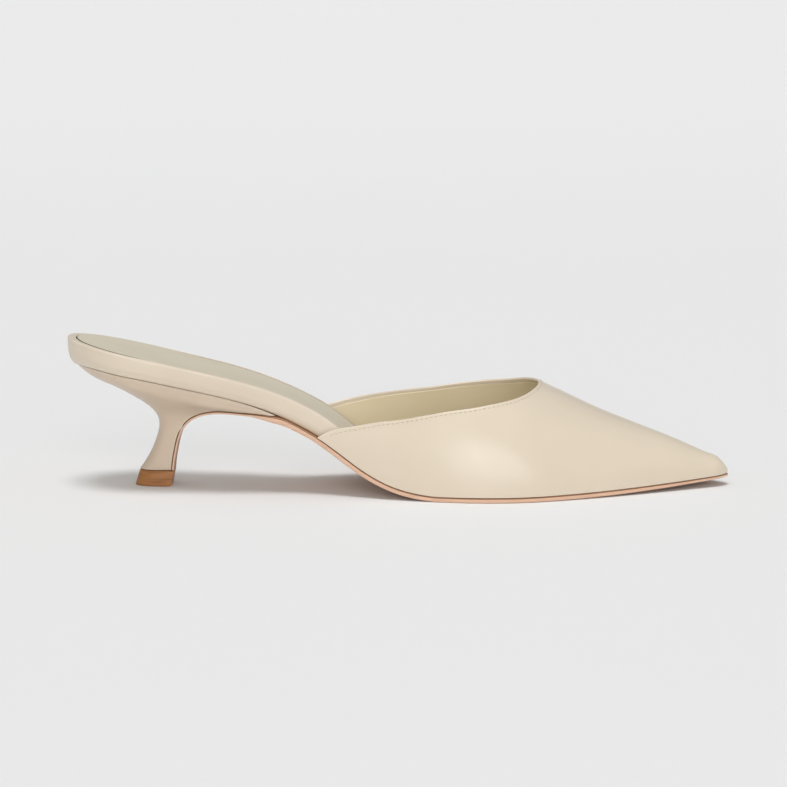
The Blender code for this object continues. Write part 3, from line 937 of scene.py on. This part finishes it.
def topline_loop(lateral, medial, wing_columns=WING_COLUMNS):
    """One array along the topline, from the outer wing to the throat and back along the inner wing."""
    return np.concatenate([lateral[: wing_columns + 1, -1], medial[:wing_columns, -1][::-1]])


def fold_direction(points, normals):
    """At each point of the topline, the way out of the leather, square to the edge."""
    along = np.gradient(points, axis=0)
    return unit(np.cross(normals, unit(along)))


def shell(outer, inner, loop_points, loop_normals, depth, fold):
    """Points and faces of a closed skin between two faces, rounded over along the topline."""
    columns, rows = outer[-1].shape[:2]
    points, faces = [], []
    for side in (-1, 1):
        for face, flip in ((outer[side], side > 0), (inner[side], side < 0)):
            start = len(points)
            points += list(face.reshape(-1, 3))
            made = grid_faces(columns, rows, start)
            faces += [f[::-1] for f in made] if flip else made
        size = columns * rows
        base = len(points) - 2 * size
        for i in range(columns - 1):
            a, b = base + i * rows, base + (i + 1) * rows
            faces.append((a, b, b + size, a + size))
    out = fold_direction(loop_points, loop_normals)
    start = len(points)
    count = len(loop_points)
    for angle in np.linspace(0, math.pi, FOLD_STEPS + 1):
        across = (math.cos(angle) - 1) * depth / 2
        points += list(loop_points + across * loop_normals + math.sin(angle) * fold * out)
    for k in range(FOLD_STEPS):
        for i in range(count - 1):
            a = start + k * count + i
            faces.append((a, a + 1, a + count + 1, a + count))
    return np.array(points), faces


def make_vamp():
    """The lasted leather, turned over at the topline."""
    outer, inner, skins = {}, {}, {}
    for side in (-1, 1):
        outer[side], skins[side] = vamp_half(side, FOLD_HEIGHT)
        inner[side] = outer[side] - wall_depth(outer[side], LEATHER) * skins[side]
    loop_points = topline_loop(outer[-1], outer[1])
    loop_normals = topline_loop(skins[-1], skins[1])
    points, faces = shell(outer, inner, loop_points, loop_normals, LEATHER, FOLD_HEIGHT)
    return piece("vamp", points, faces, [VAMP_LEATHER], "upper", sharp=60)


def make_vamp_lining():
    """The lining, cemented inside the vamp and trimmed just below the fold."""
    counts = (LINING_COLUMNS, LINING_TOE_COLUMNS, LINING_ROWS)
    outer, inner, skins = {}, {}, {}
    for side in (-1, 1):
        face, skins[side] = vamp_half(side, LINING_BELOW, counts, LENGTH - LINING_SHORT)
        outer[side] = face - wall_depth(face, LEATHER + LINING_LIFT) * skins[side]
        inner[side] = face - wall_depth(face, LEATHER + LINING) * skins[side]
    loop_points = topline_loop(outer[-1], outer[1], LINING_COLUMNS)
    loop_normals = topline_loop(skins[-1], skins[1], LINING_COLUMNS)
    points, faces = shell(outer, inner, loop_points, loop_normals, LINING, LINING_FOLD)
    return piece("vamp_lining", points, faces, [LINING_LEATHER], sharp=60)


def resample(run, values, step):
    """Values given at places along a line, at an even spacing instead."""
    at = np.arange(0, run[-1], step)
    return np.stack([np.interp(at, run, values[:, k]) for k in range(3)], axis=1)


def make_topline_stitches():
    """One row of short stitches that holds the fold, sunk a little into the leather."""
    lines, skins = {}, {}
    for side in (-1, 1):
        lines[side], skins[side] = vamp_half(side, STITCH_BELOW)
    line = topline_loop(lines[-1], lines[1])
    skin = topline_loop(skins[-1], skins[1])
    run = run_along(line)
    fine = 0.0001
    even = resample(run, line, fine)
    normal = unit(resample(run, skin, fine))
    along = unit(np.gradient(even, axis=0))
    across = unit(np.cross(along, normal))
    points, faces = [], []
    for begin in np.arange(STITCH_ENDS, run[-1] - STITCH_ENDS, STITCH_PITCH):
        start = len(points)
        for share in np.linspace(0, 1, STITCH_RINGS):
            i = int(round((begin + share * STITCH_LENGTH) / fine))
            swell = math.sin(math.pi * (0.08 + 0.84 * share)) ** 0.5
            lift = STITCH_RADIUS * (1.6 * math.sin(math.pi * share) - 0.7)
            for turn in np.linspace(0, 2 * math.pi, STITCH_SIDES, endpoint=False):
                ring = math.cos(turn) * across[i] + 0.7 * math.sin(turn) * normal[i]
                points.append(even[i] + lift * normal[i] + STITCH_RADIUS * swell * ring)
        for ring in range(STITCH_RINGS - 1):
            for k in range(STITCH_SIDES):
                a = start + ring * STITCH_SIDES + k
                b = start + ring * STITCH_SIDES + (k + 1) % STITCH_SIDES
                faces.append((a, b, b + STITCH_SIDES, a + STITCH_SIDES))
        faces.append(tuple(range(start, start + STITCH_SIDES))[::-1])
        last = start + (STITCH_RINGS - 1) * STITCH_SIDES
        faces.append(tuple(range(last, last + STITCH_SIDES)))
    return piece("topline_stitches", points, faces, [THREAD], sharp=80)


# The footbed and the sock


def footbed_ring(inset, height, further=0.0):
    """A ring of the footbed, this far inside its outline, and further inside at the back."""
    start = inset + further
    front = FOOTBED_FRONT * LENGTH - inset
    x = start + (front - start) * crowded_ends(FOOTBED_STATIONS)
    tuck = (UPPER_WALL + CLEARANCE) * footbed_tuck(x / LENGTH)
    round_off = closing(x, start, front, SEAT_ROUND - start, 0.5 * SEAT_ROUND)
    half = [(open_width(x, side) - tuck - inset) * round_off for side in (-1, 1)]
    slope = sole_slope(x) * np.clip(x / SEAT_ROUND, 0, 1)
    size = np.sqrt(1 + slope**2)
    rise = CLEARANCE + height(x)
    return both_sides(x - rise * slope / size, half[0], half[1], sole_line(x) + rise / size)


def band(x):
    """Thickness of the footbed."""
    return FOOTBED_EDGE * footbed_thick(x / LENGTH)


def edge_rise(x):
    """Height at which the edge's round ends, higher at the back of the heel."""
    near = np.clip(1 - x / SEAT_ROUND, 0, 1)
    return (EDGE_RISE + (BACK_RISE - EDGE_RISE) * near**2) * band(x)


def make_footbed_band():
    """The covered edge: tucked under below, rounded over to a narrow border above, with the sock's recess."""
    border = BORDER_ROUND * EDGE_ROUND
    border_drop = BORDER_FLAT * border
    recess = SOCK_SUNK + SOCK_THICKNESS + CLEARANCE
    shade_from = 1.2 * SOCK_SUNK
    rings = []
    for angle in quarter(ROUND_STEPS + 5):
        inset = EDGE_ROUND * (1 - math.sin(angle))
        share = 1 - math.cos(angle)
        further = (BACK_TUCK - 1) * inset
        rings.append(footbed_ring(inset, lambda x, share=share: share * edge_rise(x), further))
    for up in np.linspace(0, 1, 4)[1:]:
        level = lambda x, up=up: (1 - up) * edge_rise(x) + up * (band(x) - border_drop)
        rings.append(footbed_ring(0.0, level))
    for angle in quarter(ROUND_STEPS + 3)[1:]:
        inset = border * (1 - math.cos(angle))
        sunk = border_drop * (1 - math.sin(angle))
        rings.append(footbed_ring(inset, lambda x, sunk=sunk: band(x) - sunk))
    for angle in quarter(4):
        inset = RIM_WIDTH - RIM_LIP * (1 - math.sin(angle))
        sunk = RIM_LIP * (1 - math.cos(angle))
        rings.append(footbed_ring(inset, lambda x, sunk=sunk: band(x) - sunk, RIM_BACK))
    for sunk in (shade_from, recess):
        rings.append(footbed_ring(RIM_WIDTH, lambda x, sunk=sunk: band(x) - sunk, RIM_BACK))
    size = 2 * FOOTBED_STATIONS
    faces = ring_faces(len(rings), size)
    bands = np.zeros(len(faces), int)
    # The recess's lower wall and its floor are painted dark, as the shade in the joint round the sock.
    bands[(len(rings) - 2) * size : (len(rings) - 1) * size] = 1
    bands[-(FOOTBED_STATIONS - 1) :] = 1
    return piece(
        "footbed_band",
        np.concatenate(rings),
        faces,
        [BAND_LEATHER, PAINTED_JOINT_SHADE],
        "footbed",
        bands=bands,
    )


PROUD_TO, SUNK_FROM = 0.07, 0.20  # shares of the length between which the sock goes from proud to sunk


def sock_sunk(x):
    """How far the sock's face lies below the border: at the back of the heel it stands proud instead."""
    share = np.clip((x / LENGTH - PROUD_TO) / (SUNK_FROM - PROUD_TO), 0, 1)
    return (SOCK_SUNK + SOCK_PROUD) * smooth_step(share) - SOCK_PROUD


def make_sock():
    """The thin inlaid sock, its cut edge painted dark as the shade in the joint round it, with a slight dish
    across.
    """
    inset = RIM_WIDTH + SOCK_JOINT
    lifted = 0.00005
    rings = [footbed_ring(inset, lambda x: band(x) - SOCK_SUNK - SOCK_THICKNESS + lifted, RIM_BACK)]
    for angle in quarter(5):
        step = inset + SOCK_EDGE_ROUND * (1 - math.cos(angle))
        sunk = SOCK_EDGE_ROUND * (1 - math.sin(angle))
        rings.append(footbed_ring(step, lambda x, sunk=sunk: band(x) - sock_sunk(x) - sunk, RIM_BACK))
    size = 2 * FOOTBED_STATIONS
    faces = ring_faces(len(rings), size, last_cap=False)
    points = np.concatenate(rings)
    rim = rings[-1]
    near = rim[:FOOTBED_STATIONS]
    far = rim[FOOTBED_STATIONS:][::-1]
    wide_enough = 0.03
    deepest = SOCK_DISH * np.clip(np.linalg.norm(far - near, axis=1) / wide_enough, 0, 1)
    strips = []
    for share in np.linspace(0, 1, SOCK_STRIPS + 1):
        dish = 4 * share * (1 - share) * deepest
        strips.append(near + (far - near) * share - np.stack([0 * dish, 0 * dish, dish], axis=1))
    start = len(points)
    faces += grid_faces(SOCK_STRIPS + 1, FOOTBED_STATIONS, start)
    points = np.concatenate([points, np.concatenate(strips)])
    bands = np.zeros(len(faces), int)
    # The sock's edge rings get the painted shade of the joint.
    bands[: 3 * size] = 1
    return piece(
        "sock",
        points,
        faces,
        [SOCK_LEATHER, PAINTED_JOINT_SHADE],
        "sock_lining",
        bands=bands,
    )


# The heel


def breast_path():
    """The sole's upper face in the side view, from the heel's tip to the toe."""
    heel = np.stack([HEEL_BREAST["along"] * LENGTH, HEEL_BREAST["rise"] * HEEL_HEIGHT], axis=1)[::-1]
    tip = [(TIP_BACK + TIP_LENGTH - BREAST_FLAP, TIP_HEIGHT + CLEARANCE)]
    x = np.linspace(WAIST_JOIN, 1.0, 36) * LENGTH
    sole = np.stack([x, sole_line(x)], axis=1)
    return Path(np.concatenate([tip, heel, sole]))


SOLE_PATH = breast_path()


def place_of(along):
    """The share of the sole's own length at which it reaches this x, ahead of the heel."""
    shares = np.linspace(0, 1, 800)
    x = SOLE_PATH.point(shares)[0]
    up_the_breast = 0.1
    ahead = shares > up_the_breast
    return float(np.interp(along * LENGTH, x[ahead], shares[ahead]))


WING_PLACE = place_of(WING_TIP)


def heel_width(breast, side):
    """Half-width of the heel's front edge, at a share of the way down the breast."""
    share = Smooth(HEEL["breast"], HEEL["lateral" if side < 0 else "medial"])(breast)
    return share * SEAT_WIDTH / 2


def round_back(p, length):
    return np.sqrt(np.clip(1 - (1 - np.clip(p / length, 0, 1)) ** 2, 0, 1))


def make_heel_cover():
    """The leather stretched over the heel block, turned in along the seat and above the tip."""
    start = BACK_TUCK * EDGE_ROUND
    back = np.stack([HEEL_BACK["along"] * LENGTH, HEEL_BACK["rise"] * HEEL_HEIGHT], axis=1)
    seat = [(start, float(sole_line(start)))]
    tip = [(TIP_BACK, TIP_HEIGHT + CLEARANCE)]
    back = Path(np.concatenate([seat, back, tip]))
    rows = np.linspace(0, 1, HEEL_ROWS) ** SEAT_CROWDING
    place_in_table = np.linspace(0, 1, len(HEEL["back"]))
    column = {name: Smooth(place_in_table, HEEL[name])(rows) for name in HEEL}
    p = crowded_ends(HEEL_STEPS + 1)
    back_x, back_z = back.point(column["back"])
    breast_x, breast_z = SOLE_PATH.point(WING_PLACE * (1 - column["breast"]), -CLEARANCE)
    seat_x = back_x[0] + p * (breast_x[0] - back_x[0])
    bow = sole_line(seat_x) - (back_z[0] + p * (breast_z[0] - back_z[0]))
    reach = SEAT_BOW + p * (WING_BOW - SEAT_BOW)
    seat_round = closing(seat_x, start, LENGTH, SEAT_ROUND - start, TOE_ROUND)
    ease = smooth_step(p)
    rings = []
    for i in range(HEEL_ROWS):
        x = back_x[i] + p * (breast_x[i] - back_x[i])
        z = back_z[i] + p * (breast_z[i] - back_z[i]) + bow * np.clip(1 - rows[i] / reach, 0, 1) ** 2
        ends = [math.exp(-((gone / TURN_IN_OVER) ** 2)) for gone in (rows[i], 1 - rows[i])]
        turned = HEEL_TURN_IN * sum(ends)
        halves = []
        for side in (-1, 1):
            front = heel_width(column["breast"][i], side)
            body = column["body"][i] * SEAT_WIDTH / 2
            width = body + (front - body) * ease
            widest = SEAT_WIDTH / 2 + (heel_width(0.0, side) - SEAT_WIDTH / 2) * ease
            outline = (open_width(seat_x, side) - EDGE_ROUND) * seat_round * width / widest
            plain = width * round_back(p, column["round"][i])
            share = column["seat"][i]
            half = share * outline + (1 - share) * plain
            halves.append(np.maximum(half - turned, 0))
        rings.append(both_sides(x, halves[0], halves[1], z))
    faces = ring_faces(HEEL_ROWS, 2 * (HEEL_STEPS + 1))
    return piece("heel_cover", np.concatenate(rings), faces, [HEEL_LEATHER], "heel")


def make_tip():
    """The stacked top-piece, with its cut edges eased."""
    p = 1 - np.cos(quarter(HEEL_STEPS + 1))
    corner = [(TIP_EASED * (1 - math.sin(angle)), TIP_EASED * (1 - math.cos(angle))) for angle in quarter(4)]
    levels = corner + [(0.0, TIP_HEIGHT * share) for share in (0.3, 0.5, 0.7)]
    levels += [(inset, TIP_HEIGHT - height) for inset, height in reversed(corner)]
    rings = []
    for inset, height in levels:
        share = height / TIP_HEIGHT
        spread = TIP_SPREAD + (1 - TIP_SPREAD) * share
        long = TIP_LENGTH * spread - 2 * inset
        half = (TIP_WIDTH / 2 * spread - inset) * round_back(p, HEEL["round"][-1])
        x = TIP_BACK - TIP_LEAN + TIP_LEAN * share + inset + p * long
        rings.append(both_sides(x, half, half, np.full(len(p), height)))
    faces = ring_faces(len(rings), 2 * (HEEL_STEPS + 1))
    return piece("tip_stack", np.concatenate(rings), faces, [TIP_STACK], "top_piece", sharp=35)


# The outsole


def outsole_width(place, side):
    """Half-width of the sole at a share of its own length."""
    x = SOLE_PATH.point(place)[0]
    tuck = (UPPER_WALL + CLEARANCE) * footbed_tuck(x / LENGTH)
    margin = np.interp(x / LENGTH, [WING_TIP, MARGIN_FROM], [0.0, 1.0])
    edge = (1 - margin) * (-tuck) + margin * SOLE_MARGIN
    waist = (open_width(x, side) + edge) * closing(x, 0.0, LENGTH + SOLE_MARGIN, SEAT_ROUND, TOE_ROUND)
    flap = heel_width(1 - np.clip(place / WING_PLACE, 0, 1), side)
    blend = smooth_step(np.clip((place / WING_PLACE - 1) / FLAP_BLEND, 0, 1))
    return (1 - blend) * flap + blend * waist


def make_outsole():
    """The thin sole: a dark line along the top of its edge, partly ink and partly painted shade of the joint
    under the upper, the pale cut edge below and the buffed face.
    """
    tread = place_of(TREAD_BACK)
    on_arch = np.linspace(0, tread, SOLE_STATIONS)[:-1]
    to_toe = tread + (1 - tread) * np.sin(quarter(SOLE_STATIONS))
    places = np.concatenate([on_arch, to_toe])
    ahead = np.clip((SOLE_PATH.point(places)[0] / LENGTH - TAPER_FROM) / (1 - TAPER_FROM), 0, 1)
    thick = Smooth(SOLE["place"], SOLE["thick"], flat_end=True)(places) * (1 - TOE_TAPER * ahead**2)
    lateral = outsole_width(places, -1)
    medial = outsole_width(places, 1)
    section = [(SOLE_TOP_EASED, 0.0)] + [(0.0, d) for d in (0.04, EDGE_INK_AND_SHADE, EDGE_INK_AND_SHADE + 0.01, SOLE_ROUND_FROM)]
    for angle in quarter(ROUND_STEPS)[1:]:
        depth = SOLE_ROUND_FROM + (1 - SOLE_ROUND_FROM) * math.sin(angle)
        section.append((SOLE_EDGE_ROUND * (1 - math.cos(angle)), depth))
    rings = []
    for inset, depth in section:
        x, z = SOLE_PATH.point(places, SOLE_THICKNESS * thick * depth)
        rings.append(both_sides(x, np.maximum(lateral - inset, 0), np.maximum(medial - inset, 0), z))
    size = 2 * len(places)
    faces = ring_faces(len(rings), size)
    bands = np.full(len(faces), 2)
    bands[: (len(rings) - 1) * size] = 0
    # The top rings of the edge take the ink with its painted shade.
    bands[: 2 * size] = 1
    return piece(
        "thin_sole",
        np.concatenate(rings),
        faces,
        [SOLE_EDGE, SOLE_INK_AND_SHADE, SOLE_FACE],
        "outsole",
        bands=bands,
    )


# The studio

FLOOR_NEAR = -3.0
FLOOR_SIDE = 6.0
FLOOR_FLAT = 0.9  # behind the shoe, where the floor leaves the level
FLOOR_EASE = 1.2  # the run over which it bends up
FLOOR_RISE = 0.10  # how steeply it goes on
FLOOR_END = 12.0
WORLD_LIGHT = 0.42


def stage_material():
    """The pale floor, with a very slight unevenness."""
    made = bpy.data.materials.new("pale_floor")
    made.use_nodes = True
    tree = made.node_tree
    shader = tree.nodes["Principled BSDF"]
    spot = tree.nodes.new("ShaderNodeTexCoord").outputs["Object"]
    drift = noise(tree, spot, 3.0, 2.0)
    colour = blend_colors(tree, drift, (0.850, 0.850, 0.850, 1), (0.856, 0.856, 0.856, 1))
    tree.links.new(colour, shader.inputs["Base Color"])
    shader.inputs["Roughness"].default_value = 0.9
    shader.inputs["Specular IOR Level"].default_value = 0.0
    return made


def make_floor():
    """A floor that rises gently far behind the shoe, past the top of the picture."""
    profile = [(FLOOR_NEAR, 0.0), (FLOOR_FLAT, 0.0)]
    for share in np.linspace(0, 1, 13)[1:]:
        run = FLOOR_EASE * share
        profile.append((FLOOR_FLAT + run, FLOOR_RISE * run * share / 2))
    reach = FLOOR_END - FLOOR_FLAT - FLOOR_EASE
    profile.append((FLOOR_END, profile[-1][1] + FLOOR_RISE * reach))
    points = []
    for y, z in profile:
        points += [(-FLOOR_SIDE, y, z), (FLOOR_SIDE, y, z)]
    mesh = bpy.data.meshes.new("studio_floor")
    mesh.from_pydata(points, [], grid_faces(len(profile), 2))
    mesh.shade_smooth()
    mesh.materials.append(stage_material())
    add_object("studio_floor", mesh)


def aim(obj, target):
    """Turns a lamp towards a point."""
    x, y, z = (np.array(target) - np.array(obj.location)).tolist()
    obj.rotation_euler = (math.atan2(math.hypot(x, y), -z), 0.0, math.atan2(y, x) - math.pi / 2)


def sun(name, direction, strength, spread):
    lamp = bpy.data.lights.new(name, "SUN")
    lamp.energy = strength
    lamp.angle = math.radians(spread)
    obj = add_object(name, lamp)
    obj.location = direction
    aim(obj, (0, 0, 0))


def softbox(name, location, target, size, strength):
    """A small lit rectangle that is only seen in gloss."""
    lamp = bpy.data.lights.new(name, "AREA")
    lamp.shape = "RECTANGLE"
    lamp.size, lamp.size_y = size
    lamp.energy = strength
    lamp.diffuse_factor = 0.0
    obj = add_object(name, lamp)
    obj.location = location
    aim(obj, target)


def make_lights():
    """A broad lamp overhead, a low fill from the front and a narrow box for the highlight on the side."""
    sun("overhead", (-0.10, -0.30, 2.0), 1.38, 20)
    sun("front_fill", (0.2, -2.0, 0.30), 1.42, 50)
    softbox("side_highlight", (-0.03, -1.25, 0.42), (0.03, -0.04, 0.02), (0.04, 0.26), 0.42)
    world = bpy.data.worlds.new("studio")
    bpy.context.scene.world = world
    world.use_nodes = True
    air = world.node_tree.nodes["Background"]
    air.inputs["Color"].default_value = (1.0, 1.0, 1.0, 1.0)
    air.inputs["Strength"].default_value = WORLD_LIGHT


# Where the photograph was taken from, in the last's frame, and how far its lens is turned down
CAMERA_ALONG = 0.12877
CAMERA_AWAY = 1.000
CAMERA_UP = 0.18945
CAMERA_DOWN = 8.7
CAMERA_LENS = 116.54


def make_camera():
    view = bpy.data.cameras.new("photo_view")
    view.sensor_width = 36.0
    view.lens = CAMERA_LENS
    view.clip_end = 50.0
    obj = add_object("photo_view", view)
    obj.location = place([(CAMERA_ALONG, -CAMERA_AWAY, CAMERA_UP)])[0].tolist()
    obj.rotation_euler = (math.radians(90 - CAMERA_DOWN), 0.0, 0.0)
    bpy.context.scene.camera = obj


make_camera()
make_vamp()
make_vamp_lining()
make_topline_stitches()
make_footbed_band()
make_sock()
make_heel_cover()
make_tip()
make_outsole()
make_floor()
make_lights()
bpy.context.scene.view_settings.view_transform = "Standard"
